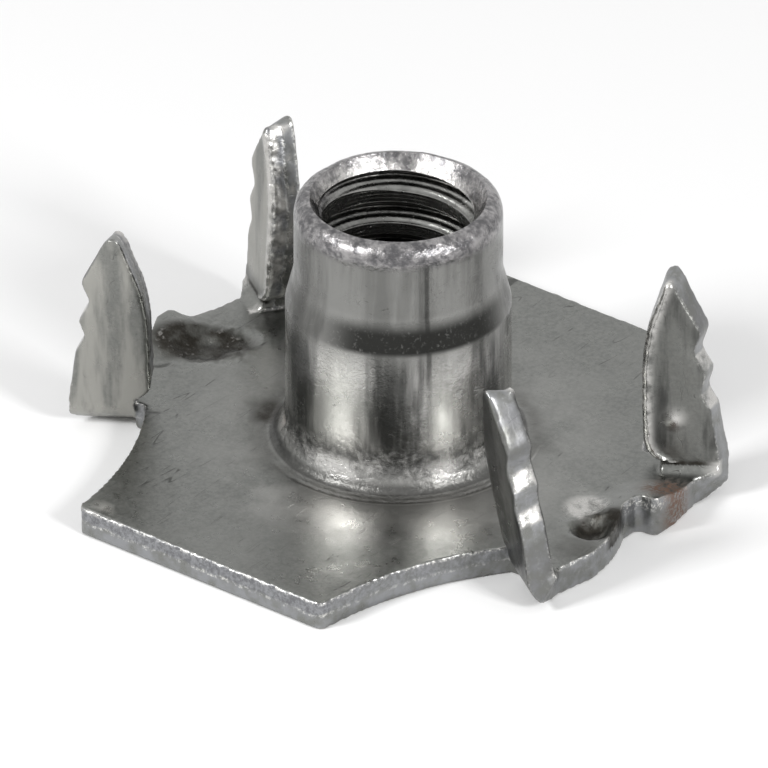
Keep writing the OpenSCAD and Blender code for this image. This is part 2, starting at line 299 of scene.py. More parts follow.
def bend_up(piece, quadrant):
    """Bends a blank prong about its fold, twists it, and puts it in its quadrant."""
    bend = math.radians(90 - PRONG_LEAN[quadrant])
    along, run, height = points_of(piece).T
    over = np.clip(run - FOLD_LEN, 0, None)
    turn = PRONG_TWIST * over / PRONG_LEN
    height = np.where(over > 0, SHEET / 2 + (along - PRONG_W / 2) * np.tan(turn)
                      + (height - SHEET / 2) / np.cos(turn), height)
    along = along + over * math.tan(math.radians(PRONG_SWAY[quadrant]))
    angle = bend * np.clip(run / FOLD_LEN, 0, 1)
    radius = FOLD_AXIS - height
    out = np.where(run < 0, run, radius * np.sin(angle) + over * np.cos(angle))
    up = np.where(run < 0, height, FOLD_AXIS - radius * np.cos(angle) + over * np.sin(angle))
    x = fold_start.x + along * fold_along.x + out * fold_out.x
    y = fold_start.y + along * fold_along.y + out * fold_out.y
    flip = mirrored(quadrant)
    piece.data.vertices.foreach_set("co", np.stack([x * flip[0], y * flip[1], up], 1).ravel())
    if flip[0] * flip[1] < 0:
        piece.data.flip_normals()
    piece.data.update()


blank = blank_prong()
prongs = []
for quadrant in range(4):
    prong = blank.copy()
    prong.data = blank.data.copy()
    prong.name = "prong_%d" % quadrant
    bpy.context.scene.collection.objects.link(prong)
    bend_up(prong, quadrant)
    prongs.append(prong)
bpy.data.objects.remove(blank)

# ---------------------------------------------------------------- the barrel
# The barrel is drawn up from the middle of the same sheet, 7.8 mm across, and necks in to
# 7.2 mm above a cone, with a rolled rim. Its bore is tapped with a right-hand 1/4-20 thread.
BARREL_R, NECK_R, BARREL_H = 3.9, 3.6, 10.4
SHOULDER_Z, NECK_Z = 6.4, 7.6
RIM_ROUND = 0.6
FOOT_H, FOOT_W, FOOT_TURN = 1.5, 0.7, math.radians(30)
ROOTED_Z, ROOTED_OUT = 0.2, 0.05
BORE_R, MOUTH_R, MOUTH_DEPTH, FUNNEL_R = 2.6, 3.05, 0.75, 1.2
MOUTH_LIP, BORE_PAST = 0.12, 0.1
BARREL_STEPS, BORE_STEPS, THREAD_STEPS = 256, 192, 96


def spun(name, profile, steps):
    """A closed solid of revolution about Z, from a half section drawn in X and Z."""
    piece = drawn_face(name, profile)
    bpy.ops.object.mode_set(mode="EDIT")
    bpy.ops.mesh.select_all(action="SELECT")
    bpy.ops.mesh.delete(type="ONLY_FACE")
    bpy.ops.mesh.select_all(action="SELECT")
    bpy.ops.transform.rotate(value=-math.pi / 2, orient_axis="X", center_override=(0, 0, 0))
    bpy.ops.mesh.spin(steps=steps, angle=2 * math.pi, center=(0, 0, 0), axis=(0, 0, 1))
    bpy.ops.mesh.select_all(action="SELECT")
    bpy.ops.mesh.remove_doubles(threshold=0.0005)
    bpy.ops.mesh.select_all(action="SELECT")
    bpy.ops.mesh.normals_make_consistent(inside=False)
    bpy.ops.object.mode_set(mode="OBJECT")
    return piece


# The foot's fillet is a small arc off the flange that runs into a large one up the wall.
foot_top = SHEET + FOOT_H
lower_r = (FOOT_W - FOOT_H * math.tan(FOOT_TURN / 2)) / (1 - math.tan(FOOT_TURN / 2))
upper_r = (FOOT_H - lower_r) / math.sin(FOOT_TURN) + lower_r
joint = (BARREL_R + upper_r * (1 - math.cos(FOOT_TURN)), foot_top - upper_r * math.sin(FOOT_TURN))
rooted_r = BARREL_R + FOOT_W + ROOTED_OUT
profile = [(0, ROOTED_Z), (rooted_r, ROOTED_Z), (rooted_r, SHEET - 0.01)]
profile += arc(joint[0] + lower_r * math.cos(FOOT_TURN), joint[1] + lower_r * math.sin(FOOT_TURN),
               lower_r, 270, 210, 8)
profile += arc(BARREL_R + upper_r, foot_top, upper_r, 210, 180, 8)
profile += [(BARREL_R, SHOULDER_Z), (NECK_R, NECK_Z)]
profile += arc(NECK_R - RIM_ROUND, BARREL_H - RIM_ROUND, RIM_ROUND, 0, 90, 10)
profile += [(0, BARREL_H)]
barrel = spun("barrel", profile, BARREL_STEPS)

# The bore: a funnel where the sheet was drawn up, a plain hole, and a countersunk mouth.
BORE_UNDER = -0.5
bore_profile = [(0, BORE_UNDER)]
bore_profile += arc(BORE_R + FUNNEL_R, FUNNEL_R - 0.005, FUNNEL_R, 272, 180, 12)
bore_profile.insert(1, (bore_profile[1][0], BORE_UNDER))
bore_profile += [(BORE_R, BARREL_H - MOUTH_DEPTH), (MOUTH_R, BARREL_H - 0.02),
                 (MOUTH_R + MOUTH_LIP, BARREL_H + BORE_PAST), (0, BARREL_H + BORE_PAST)]
bore = spun("bore", bore_profile, BORE_STEPS)

# The tap's tooth: a 60 degree form with flat ends, drawn across the bore's wall.
THREAD_ROOT_R, PITCH, TURNS = 3.175, 1.27, 9
TOOTH = [(2.35, -0.53), (BORE_R - 0.01, -0.45), (BORE_R + 0.06, -0.375),
         (THREAD_ROOT_R - 0.06, -0.115), (THREAD_ROOT_R, -0.07), (THREAD_ROOT_R, 0.07),
         (THREAD_ROOT_R - 0.06, 0.115), (BORE_R + 0.06, 0.375), (BORE_R - 0.01, 0.45),
         (2.35, 0.53)]
THREAD_START, THREAD_TURN = -1.255, math.radians(-51.8)
RUN_OUT_TURNS, RUN_OUT_LEN, RUN_OUT_TAPER = 0.5, 0.45, 0.24
tap = drawn_face("tap", TOOTH)
bpy.ops.object.mode_set(mode="EDIT")
bpy.ops.mesh.select_all(action="SELECT")
bpy.ops.mesh.delete(type="ONLY_FACE")
bpy.ops.mesh.select_all(action="SELECT")
bpy.ops.transform.rotate(value=-math.pi / 2, orient_axis="X", center_override=(0, 0, 0))
bpy.ops.object.mode_set(mode="OBJECT")
screw = tap.modifiers.new("screw", "SCREW")
screw.axis = "Z"
screw.angle = 2 * math.pi
screw.screw_offset = PITCH
screw.iterations = TURNS
screw.steps = THREAD_STEPS
screw.render_steps = THREAD_STEPS
bpy.ops.object.modifier_apply(modifier="screw")
bpy.ops.object.mode_set(mode="EDIT")
bpy.ops.mesh.select_all(action="SELECT")
bpy.ops.mesh.remove_doubles(threshold=0.0001)
bpy.ops.mesh.select_all(action="DESELECT")
bpy.ops.mesh.select_mode(type="EDGE")
bpy.ops.mesh.select_non_manifold()
bpy.ops.mesh.fill_holes(sides=0)
bpy.ops.mesh.select_all(action="SELECT")
bpy.ops.mesh.normals_make_consistent(inside=False)
bpy.ops.mesh.select_mode(type="VERT")
bpy.ops.object.mode_set(mode="OBJECT")
# Over its last half turn the thread runs out of the wall, as it does where a tap stops.
thread = points_of(tap)
part_turn = np.mod(np.arctan2(thread[:, 1], thread[:, 0]) / (2 * math.pi), 1)
turned = np.round(thread[:, 2] / PITCH - part_turn) + part_turn
leaving = np.clip((turned - TURNS + RUN_OUT_TURNS) / RUN_OUT_LEN, 0, 1)
thread[:, :2] *= (1 - RUN_OUT_TAPER * leaving)[:, None]
tap.data.vertices.foreach_set("co", thread.ravel())
tap.data.transform(Matrix.Translation((0, 0, THREAD_START)) @ Matrix.Rotation(THREAD_TURN, 4, "Z"))

# ---------------------------------------------------------------- one stamping
# Flange, prongs and barrel are one sheet, so they are fused here, and the marks of the
# press tools are worked into the fused skin: dimples and lips at the parted ends, rough
# sheared faces with their burrs, a hammered rim, and the ring that the draw die left.
VOXEL = 0.07
SOFTEN, SOFTEN_BLADES = 3, 34
BLADES_Z, BLADES_R = 1.9, 7
THINNED = 0.3
BARREL_ZONE, MARKED_ZONE = 6.0, 5.2
PRONG_ZONE_OUT, PRONG_ZONE_START, PRONG_ZONE_PAST, FOLD_LIFT = 3.2, -0.35, 0.6, 0.12
# A skin turned this far from the sheet's own faces is a sheared one, which tore in its
# upper half. The long sides tore most, and the parted ends and the barbs least.
SHEARED, TORN_FROM = (0.25, 0.6), (0.42, 0.6)
LONG_SIDE_Y, PARTED_X, SMOOTH_EDGE_W = 10.3, 8.6, 0.2
LONG_SIDE_RAGGED, SCALLOP_RAGGED, CLEAN_CUT = 1.0, 0.5, 0.12
BLADE_RAGGED = (CLEAN_CUT, 1.0, 0.75, 0.75)
# The lips, by x, y and height, and the dimples, by x, y, radius and depth.
LIPS, LIP_R, LIP_SOFT = ((10.1, 0.9, 0.42), (-11.0, 0.5, 0.4)), 2.2, 1.9
DIMPLES = ((9.2, -0.95, 0.95, 0.42), (8.3, -0.3, 1.1, 0.12), (-8.9, 0.4, 1.3, 0.26),
           (-8.2, 1.5, 0.9, 0.2), (-9.6, -1.3, 0.7, 0.12))
# Rough and worn patches, by centre, radius, soft edge and stretch.
ROUGH_NOTCH = ((9.15, -0.85), 1.2, 0.7)
ROUGH_TONGUE = ((-8.7, 0.7), 1.9, 0.9, (1, 1 / 0.9))
# The ridge along each blade's smooth edge, and the dent in one blade, which is the
# blade's number, mm along and above the fold, radius and height.
RIDGE_IN, RIDGE_W, RIDGE_LIFT = 0.18, 0.17, 0.09
DENTED_BLADE, DENT_ALONG, DENT_UP, DENT_R, DENT_LIFT = 0, 1.05, 1.6, 0.55, 0.1
RING_R, RING_W, RING_DEPTH = 4.8, 0.07, 0.05
# Lumps in mm, and how far the skin moves with the coarse ones and the fine ones.
COARSE, FINE = 0.42, 0.17
RIPPLE, TEARS, PITS = 0.012, (0.02, 0.018), (0.06, 0.035)
BEATEN_LUMP, BEATEN = 0.8, (0.03, 0.008)
RIDGE_ROUGH, BURR = (0.02, 0.03), 0.035
WARP_LUMP, WARP, WAVE_LUMP, WAVE = 2.2, 0.004, 1.6, 0.02

bpy.ops.object.select_all(action="DESELECT")
for piece in prongs + [barrel, flange]:
    piece.select_set(True)
bpy.context.view_layer.objects.active = flange
bpy.ops.object.join()
nut = bpy.context.object
nut.name = "stamping"
nut.data.name = "stamping"
fuse = nut.modifiers.new("fuse", "REMESH")
fuse.mode = "VOXEL"
fuse.voxel_size = VOXEL
bpy.ops.object.modifier_apply(modifier="fuse")
soften = nut.modifiers.new("soften", "SMOOTH")
soften.factor = 0.5
soften.iterations = SOFTEN
bpy.ops.object.modifier_apply(modifier="soften")


def normals_of(piece):
    flat = np.empty(len(piece.data.vertices) * 3)
    piece.data.vertex_normals.foreach_get("vector", flat)
    return flat.reshape(-1, 3)


def ramp(value, low, high):
    """Rises smoothly from 0 at low to 1 at high."""
    part = np.clip((value - low) / (high - low), 0, 1)
    return part * part * (3 - 2 * part)


def hump(value, width):
    """1 where the value is 0, falling away on both sides."""
    return np.exp(-(value / width) ** 2)


def patch(x, y, centre, size, soft, stretch=(1, 1)):
    """A round or oval patch: 1 in its middle, 0 outside it."""
    reach = np.hypot((x - centre[0]) / stretch[0], (y - centre[1]) / stretch[1])
    return ramp(size - reach, 0, soft)


def grain(points, size, seed=0.0):
    """Smooth random field of about -1 to 1, with lumps of the given size in mm."""
    shifted = points / size + np.array([seed, 1.7 * seed, -0.6 * seed])
    return np.array([noise.noise(p) for p in shifted.tolist()])


def smooth_edge_at(height):
    """How far the smooth edge of a flat blade lies in from its widest, at each height."""
    root = np.sqrt(np.clip(2 * height * ROOT_R - height ** 2, 0, None))
    edge = np.where(height < ROOT_R, ROOT_R - root, 0)
    turned_in = np.clip(height - EDGE_Y, 0, EDGE_R * math.sin(math.radians(EDGE_TURN)))
    edge = edge + EDGE_R - np.sqrt(EDGE_R ** 2 - turned_in ** 2)
    straight = np.clip(height - EDGE_Y - turned_in, 0, None)
    return edge + straight * math.tan(math.radians(EDGE_TURN))


def sheet_places(points, normals):
    """Where every point of the skin is in the sheet that it was made from:
    through    its height through the sheet, 0 below or outside, 1 on top or inside
    turned     how far its surface is turned away from the sheet's own faces
    on_prong   whether it is on a prong or its fold, and blade, which of the four
    inward, above, along   mm in from the smooth edge, above the fold and along the fold
    bent       how much of the fold's bend lies below it, 0 to 1
    ragged     how raggedly the edge there was sheared"""
    flip_x, flip_y = np.sign(points[:, 0]), np.sign(points[:, 1])
    blade = np.where(flip_y > 0, np.where(flip_x > 0, 0, 1), np.where(flip_x > 0, 3, 2))
    away = np.stack([np.abs(points[:, 0]) - FOLD_X, np.abs(points[:, 1]) - FOLD_Y])
    along = away[0] * fold_along.x + away[1] * fold_along.y
    out = away[0] * fold_out.x + away[1] * fold_out.y
    up = points[:, 2] - FOLD_AXIS
    on_prong = (out > 0) & (out < PRONG_ZONE_OUT) \
        & (along > PRONG_ZONE_START) & (along < PRONG_W + PRONG_ZONE_PAST) \
        & ((points[:, 2] > SHEET + FOLD_LIFT) | (along > ROOT_X))

    # Unbend the fold and untwist the blade.
    bend = np.radians(90 - np.array(PRONG_LEAN))[blade]
    angle = np.clip(np.arctan2(out, -up), 0, bend)
    run = out * np.cos(bend) + up * np.sin(bend)
    over = np.where(angle >= bend, np.clip(run, 0, None), 0)
    radius = np.where(over > 0, out * np.sin(bend) - up * np.cos(bend), np.hypot(out, up))
    turn = PRONG_TWIST * over / PRONG_LEN
    through = 1 - (radius - FOLD_R) / SHEET
    through = 0.5 + (through - 0.5 - (along - PRONG_W / 2) * np.tan(turn) / SHEET) * np.cos(turn)
    through = np.where(on_prong, through, points[:, 2] / SHEET)
    angle = np.where(on_prong, angle, 0)
    across = normals[:, 0] * flip_x * fold_out.x + normals[:, 1] * flip_y * fold_out.y
    facing = np.abs(across * -np.sin(angle) + normals[:, 2] * np.cos(angle))
    on_barrel = np.hypot(points[:, 0], points[:, 1]) < BARREL_ZONE
    turned = np.where(on_barrel & ~on_prong, 0, 1 - facing)
    above = np.where(on_prong, over, 0)
    sway = np.tan(np.radians(np.array(PRONG_SWAY)))[blade]
    inward = along - smooth_edge_at(above) - above * sway

    # The blade at -X +Y was cut with the most worn edge of the punch, and the one at +X +Y
    # with a fresh one.
    blade_ragged = np.where(inward < SMOOTH_EDGE_W, np.array(BLADE_RAGGED)[blade], CLEAN_CUT)
    flange_ragged = np.where(np.abs(points[:, 0]) > PARTED_X, CLEAN_CUT, SCALLOP_RAGGED)
    flange_ragged = np.where(np.abs(points[:, 1]) > LONG_SIDE_Y, LONG_SIDE_RAGGED, flange_ragged)
    return SimpleNamespace(
        through=through, turned=turned, on_prong=on_prong, blade=blade, inward=inward,
        above=above, along=along, bent=angle / bend,
        ragged=np.where(on_prong, blade_ragged, flange_ragged))


def press_marks(piece):
    """Moves the skin into the dimples, lips, torn shears, ridges and burrs."""
    points, normals = points_of(piece), normals_of(piece)
    at = sheet_places(points, normals)
    x, y, z = points.T
    radius = np.hypot(x, y)
    coarse, fine = grain(points, COARSE, 11), grain(points, FINE, 5)

    # The parting punch lifted a lip and pressed dimples at both ends.
    down = np.zeros(len(points))
    top = ramp(z, 0.1, SHEET) * ~at.on_prong * (radius > MARKED_ZONE)
    for lip_x, lip_y, height in LIPS:
        down -= top * height * patch(x, y, (lip_x, lip_y), LIP_R, LIP_SOFT, (1, 1 / 0.9))
    for dent_x, dent_y, size, depth in DIMPLES:
        down += top * depth * patch(x, y, (dent_x, dent_y), size, 0.75 * size)
    rough = top * np.maximum(patch(x, y, *ROUGH_NOTCH), patch(x, y, *ROUGH_TONGUE))

    # The draw die's ring, pressed deepest on the +X -Y side.
    ring = hump(radius - RING_R, RING_W) * (z > SHEET - 0.1) * (z < SHEET + 0.3)
    ring *= ramp((0.5 * x - 0.87 * y) / np.maximum(radius, 0.1), 0.45, 0.75)
    down += ring * RING_DEPTH * (0.7 + 0.6 * grain(points, 0.9, 3))

    # Shears are rippled, torn in their upper half, and the rim and the foot are beaten.
    sheared = ramp(at.turned, *SHEARED)
    torn = sheared * ramp(at.through, *TORN_FROM) * at.ragged
    rim = ramp(z, BARREL_H - 0.75, BARREL_H - 0.35) * (radius < 4)
    foot = ramp(radius, 3.95, 4.3) * ramp(5.0 - radius, 0, 0.4) * (z < 1.9) * (z > 0.9)
    lift = (sheared + foot) * RIPPLE * coarse
    lift += torn * (TEARS[0] * coarse + TEARS[1] * fine)
    lift += rim * (BEATEN[0] * grain(points, BEATEN_LUMP, 7) + BEATEN[1] * fine)
    lift += rough * (PITS[0] * coarse + PITS[1] * fine)
    lift += WARP * grain(points, WARP_LUMP, 2) * (z > 0.2)

    # Blades wave a little, with a ridge along the smooth edge, and one has a dent.
    lift += at.on_prong * WAVE * grain(points, WAVE_LUMP, 9)
    inner = at.on_prong * ramp(at.through, 0.7, 0.9) * ramp(at.bent, 0.9, 1.0)
    ridge = hump(at.inward - RIDGE_IN, RIDGE_W) * inner
    lift += ridge * (RIDGE_LIFT + RIDGE_ROUGH[0] * coarse + RIDGE_ROUGH[1] * fine)
    dent = patch(at.along, at.above, (DENT_ALONG, DENT_UP), DENT_R, DENT_R)
    lift += inner * (at.blade == DENTED_BLADE) * DENT_LIFT * dent

    lip_line = sheared * ramp(at.through, 0.8, 0.97) * ramp(1.25 - at.through, 0, 0.2)
    burr = lip_line * ramp(grain(points, 0.3, 21), -0.3, 0.5) * (0.3 + at.ragged)
    points = points + normals * lift[:, None]
    points[:, 2] += burr * BURR * ~at.on_prong - down
    piece.data.vertices.foreach_set("co", points.ravel())
    piece.data.update()


blades = nut.vertex_groups.new(name="blades")
blades.add([n for n, (x, y, z) in enumerate(points_of(nut).tolist())
            if z > BLADES_Z and math.hypot(x, y) > BLADES_R], 1.0, "REPLACE")
soften = nut.modifiers.new("soften", "SMOOTH")
soften.factor = 0.5
soften.iterations = SOFTEN_BLADES
soften.vertex_group = "blades"
bpy.ops.object.modifier_apply(modifier="soften")
press_marks(nut)
thin = nut.modifiers.new("thin", "DECIMATE")
thin.ratio = THINNED
bpy.ops.object.modifier_apply(modifier="thin")
for cutter in (bore, tap):
    bite = nut.modifiers.new("bite", "BOOLEAN")
    bite.operation = "DIFFERENCE"
    bite.object = cutter
    bite.solver = "MANIFOLD"
    bpy.ops.object.modifier_apply(modifier="bite")
    bpy.data.objects.remove(cutter)

# Where rust, wear, hammering, painted highlights, painted shade and darker patches sit: centre,
# radius, soft edge and stretch, in mm. The last two are set out along a diagonal of the flange
# instead of along X.
RUST_FOLD, RUST_FOOT = (9.8, 2.45, 0.9), (-2.55, -2.75, 0.35)
SHADED_NOTCH = ((9.35, -0.7), 1.1, 0.45)
BRIGHT_NOTCH_RIM = ((8.2, 0), 0.95, 0.5)
HAMMERED_NOTCH_RIM = ((8.3, -0.05), 1.0, 0.5)
DARK_CORNER = ((9.6, -2.4), 1.0, 0.5)
WORN_CORNER = ((-4.75, -10.5), 0.6, 0.3)
DIAGONAL = (0.786, 0.618)
HAMMERED_VALLEY = ((-6.84, 5.95), 1.25, 0.45, (1.75, 1.1))
DARK_FOOT_PATCH = ((-4.5, 1.3), 1.2, 0.7, (0.7, 0.9))


def bulge_of(piece, points, normals):
    """How convex the skin is at each point: above 0 on edges, below 0 in creases."""
    ends = np.empty(len(piece.data.edges) * 2, dtype=np.int64)
    piece.data.edges.foreach_get("vertices", ends)
    ends = ends.reshape(-1, 2)
    span = points[ends[:, 1]] - points[ends[:, 0]]
    length = np.linalg.norm(span, axis=1) + 1e-9
    bulge, count = np.zeros(len(points)), np.zeros(len(points))
    for side, sign in ((0, 1), (1, -1)):
        lean = -sign * np.einsum("ij,ij->i", normals[ends[:, side]], span) / length
        np.add.at(bulge, ends[:, side], lean)
        np.add.at(count, ends[:, side], 1)
    return bulge / np.maximum(count, 1)


def paint_marks(piece):
    """Lays down where the sheet is sheared, burred, ragged and rusty, where its edges wear, and
    where highlights and shade are painted.
    """
    points, normals = points_of(piece), normals_of(piece)
    at = sheet_places(points, normals)
    x, y, z = points.T
    radius = np.hypot(x, y)
    side, back = DIAGONAL[0] * x + DIAGONAL[1] * y, -DIAGONAL[1] * x + DIAGONAL[0] * y
    bulge = bulge_of(piece, points, normals)
    sheared = ramp(at.turned, *SHEARED)
    shear_on_blade = at.on_prong * sheared
    inner = at.on_prong * ramp(at.through, 0.6, 0.85)
    upright = ramp(at.bent, 0.9, 1)

    # Bright places: the burnished ridges and the wear along the edge of the blade at -X +Y, and
    # painted highlights on the shelves between barbs, the dent, the ends of the folds and the rim
    # of the notch.
    ridge = hump(at.inward - 0.15, 1.1 * RIDGE_W) * inner * upright
    shelf = shear_on_blade * ramp(normals[:, 2], 0.25, 0.45) * ramp(at.inward, 1.0, 1.5) \
        * ramp(4.3 - at.above, 0, 0.3)
    dent = hump(np.hypot(at.along - DENT_ALONG, at.above - DENT_UP), 0.3) \
        * inner * upright * (at.blade == DENTED_BLADE)
    fold_shine = inner * ramp(at.bent, 0.25, 0.5) * ramp(0.1 - at.above, 0, 0.1) \
        * ramp(at.along, 1.9, 2.6)
    notch_rim = 0.9 * patch(x, y, *BRIGHT_NOTCH_RIM) * (z > 0.5) * ~at.on_prong
    torn_edge = at.on_prong * (at.blade == 1) * (at.inward < 0.25) * ramp(at.through, 0.15, 0.3) \
        * ramp(grain(points, 0.45, 31), -0.25, 0.2)
    wear_and_highlights = ramp(bulge, 0.08, 0.32)
    for bright in (shelf, dent, 0.8 * fold_shine, notch_rim, torn_edge):
        wear_and_highlights = np.maximum(wear_and_highlights, bright)

    # Painted shade on the barbed sides: the slope up to the tip, and one blade's foot, are dimmed
    # and darkened.
    slope = shear_on_blade * ramp(at.above, 4.4, 4.8) * ramp(at.inward, 0.6, 1.0)
    shaded_blade_foot = shear_on_blade * (at.blade == 3) * ramp(1.6 - at.above, 0, 0.4) \
        * ramp(at.inward, 1, 1.5)
    slope = np.maximum(slope, 0.9 * shaded_blade_foot)
    wear_and_highlights = wear_and_highlights * (1 - 0.8 * slope)
    wear_and_highlights = np.maximum(wear_and_highlights, patch(x, y, *WORN_CORNER) * (z > 0.9))
    wear_and_highlights = np.clip(wear_and_highlights + 0.9 * ridge, 0, 1)

    # Painted shade in creases, folds, the two pressed ends and round the barrel's foot, and two
    # darker patches, by the foot and at a corner.
    hollow = ramp(-bulge, 0.05, 0.25) * (1 - 0.8 * at.on_prong)
    fold_shade = hump(at.above, 0.07) * (at.bent > 0.85) * inner
    root_shade = inner * ramp(at.bent, 0.3, 0.95) * ramp(0.9 - at.above, 0, 0.9)
    notch_shade = 1.3 * patch(x, y, *SHADED_NOTCH) * (z > 0.55)
    valley = patch(side, back, *HAMMERED_VALLEY) * (z > 0.5)
    blotch = patch(side, back, *DARK_FOOT_PATCH) * (z > 0.9) * (z < 1.4)
    corner = patch(x, y, *DARK_CORNER) * (z > 0.8) * (z < 1.5) * (1 - sheared)
    blotch = np.maximum(blotch, 0.75 * corner)
    foot_crease_shade = hump(radius - 4.75, 0.35) * (z < 1.6) * (z > 0.9)
    shade_and_dark_patches = 0.6 * hollow + 0.8 * fold_shade + 0.2 * root_shade + notch_shade + valley \
        + 0.6 * blotch + 0.4 * foot_crease_shade + 0.35 * slope - ridge - shelf - dent - fold_shine
    hammered = np.maximum(valley, patch(x, y, *HAMMERED_NOTCH_RIM) * (z > 0.5)) * ~at.on_prong

    rust_x, rust_y, rust_r = RUST_FOLD
    rusty = hump(np.hypot(x - rust_x, y - rust_y), rust_r) * (z < 1.8)
    rust_x, rust_y, rust_r = RUST_FOOT
    rusty += 0.8 * hump(np.hypot(x - rust_x, y - rust_y), rust_r) * (z < 2)
    fold_inside = inner * ramp(0.7 - at.above, 0, 0.5)
    marks = {"sheared": sheared, "through": at.through, "wear_and_highlights": wear_and_highlights, "shade_and_dark_patches": shade_and_dark_patches,
             "rusty": rusty, "ragged": at.ragged, "hammered": hammered,
             "blade": at.on_prong * (1 - 0.85 * fold_inside)}
    for name, values in marks.items():
        layer = piece.data.attributes.new(name, "FLOAT", "POINT")
        layer.data.foreach_set("value", np.clip(values, 0, 1).astype(np.float32))


paint_marks(nut)
nut.data.transform(Matrix.Scale(0.001, 4))
bpy.ops.object.select_all(action="DESELECT")
nut.select_set(True)
bpy.context.view_layer.objects.active = nut
bpy.ops.object.shade_smooth_by_angle(angle=math.radians(40))

# ---------------------------------------------------------------- the steel
# Bright low-carbon steel sheet, thinly plated and with wear: dull grey on the flange's faces,
# burnished and streaked where the dies drew it, torn and sparkling along the sheared edges, with
# painted highlights and painted shade, the shade deepest in the folds and dents, and a little red
# rust in one of them.
MM = 0.001
# Some greys here are painted light: the shaded, polished, glossy, pale blade and soot greys are
# painted shade, highlight and reflection, and the burnished and smut greys serve both for wear and
# marks and for painted highlight and shade.
DULL, PLAIN, BURNISH_AND_HIGHLIGHT = (0.15, 0.155, 0.147), (0.215, 0.218, 0.207), (0.55, 0.54, 0.52)
DRAWN, DRAWN_DARK, SMUT_AND_SHADE = (0.25, 0.25, 0.24), (0.165, 0.165, 0.158), (0.035, 0.035, 0.033)
PAINTED_HIGHLIGHT, SHADED = (0.66, 0.65, 0.63), (0.05, 0.05, 0.048)
RIM_DARK, RIM_LIGHT = (0.12, 0.118, 0.122), (0.34, 0.33, 0.33)
TORN, TORN_DARK, GLINT = (0.3, 0.305, 0.315), (0.17, 0.172, 0.18), (0.85, 0.84, 0.8)
LIT_BLADE, PAINTED_SHEEN = (0.36, 0.355, 0.33), (0.4, 0.395, 0.38)
DEEP_SHADE, RUST, RUST_DARK = (0.035, 0.032, 0.027), (0.17, 0.095, 0.06), (0.07, 0.035, 0.022)
# Azimuths in radians: the side facing the view, the painted reflection bands, and the painted dark
# line.
FRONT_TURN, BAND_TURN, DARK_LINE_TURN = -0.95, -1.46, -0.63
TAP_LINES = 9
BUMP, BUMP_DEPTH = 0.6, 0.02 * MM

steel = bpy.data.materials.new("steel")
steel.use_nodes = True
nodes, links = steel.node_tree.nodes, steel.node_tree.links
shader = nodes["Principled BSDF"]


def node(kind, **settings):
    made = nodes.new(kind)
    for name, value in settings.items():
        setattr(made, name, value)
    return made


def attribute(name):
    return node("ShaderNodeAttribute", attribute_name=name).outputs["Fac"]


def number(operation, *values, clamp=False):
    """One Math node; each value is a number or a socket."""
    made = node("ShaderNodeMath", operation=operation, use_clamp=clamp)
    for slot, value in enumerate(values):
        if isinstance(value, (int, float)):
            made.inputs[slot].default_value = value
        else:
            links.new(value, made.inputs[slot])
    return made.outputs[0]


def plus(first, second, clamp=False):
    return number("ADD", first, second, clamp=clamp)


def times(first, *others):
    for other in others:
        first = number("MULTIPLY", first, other)
    return first


def noise_lumps(scale, detail, stretch=(1, 1, 1), turn=0.0, roughness=0.5):
    """Noise in the nut's own coordinates; scale is lumps per metre, turn is about Z."""
    place = node("ShaderNodeMapping")
    place.inputs["Rotation"].default_value = (0, 0, turn)
    place.inputs["Scale"].default_value = stretch
    links.new(coordinates, place.inputs["Vector"])
    made = node("ShaderNodeTexNoise")
    made.inputs["Scale"].default_value = scale
    made.inputs["Detail"].default_value = detail
    made.inputs["Roughness"].default_value = roughness
    links.new(place.outputs["Vector"], made.inputs["Vector"])
    return made.outputs["Fac"]


def between(value, low, high, out_low=0.0, out_high=1.0):
    """Goes smoothly from out_low to out_high as the value goes from low to high."""
    made = node("ShaderNodeMapRange", interpolation_type="SMOOTHSTEP")
    for name, given in (("From Min", low), ("From Max", high), ("To Min", out_low),
                        ("To Max", out_high)):
        made.inputs[name].default_value = given
    links.new(value, made.inputs["Value"])
    return made.outputs["Result"]


def within(value, start, full, fade, end):
    """A band of heights or radii in mm: 1 from full to fade, 0 before start and after end."""
    return times(between(value, start * MM, full * MM), between(value, end * MM, fade * MM))


def stripe(value, centre, half, core):
    """A thin stripe about the centre: 1 inside its core, 0 past its half width."""
    return between(number("ABSOLUTE", number("SUBTRACT", value, centre)), half, core)


def tinted(amount, first, second):
    """A colour that goes from first to second; either may be a colour or a socket."""
    made = node("ShaderNodeMix", data_type="RGBA")
    links.new(amount, made.inputs["Factor"])
    for slot, colour in ((6, first), (7, second)):
        if isinstance(colour, tuple):
            made.inputs[slot].default_value = colour + (1,)
        else:
            links.new(colour, made.inputs[slot])
    return made.outputs[2]


# Places on the nut, and noises from pressed clouds down to the finest grain.
coordinates = node("ShaderNodeTexCoord").outputs["Object"]
split = node("ShaderNodeSeparateXYZ")
links.new(coordinates, split.inputs[0])
across, deep, height = split.outputs
from_axis = number("SQRT", plus(times(across, across), times(deep, deep)))
azimuth = number("ARCTAN2", deep, across)
toward = number("DIVIDE", plus(times(across, 0.79), times(deep, -0.613)), from_axis)
sheared, through, wear_and_highlights = attribute("sheared"), attribute("through"), attribute("wear_and_highlights")
shade_and_dark_patches, rusty, ragged = attribute("shade_and_dark_patches"), attribute("rusty"), attribute("ragged")
hammered, blade = attribute("hammered"), attribute("blade")
clouds = noise_lumps(350, 3, roughness=0.6)
mottle = noise_lumps(1500, 6, roughness=0.6)
fine_grain = noise_lumps(6000, 6, roughness=0.8)
beaten = plus(times(mottle, 0.5), times(noise_lumps(4500, 4, roughness=0.6), 0.5))
drawn = noise_lumps(900, 4, (1, 1, 0.12), roughness=0.6)
galls = noise_lumps(5000, 3, (1, 1, 0.05), roughness=0.6)
on_barrel = times(between(height, 1.1 * MM, 1.9 * MM), between(from_axis, 5.6 * MM, 4.8 * MM))
rim = times(between(height, 9.4 * MM, 9.8 * MM), between(from_axis, 4.2 * MM, 4.0 * MM))
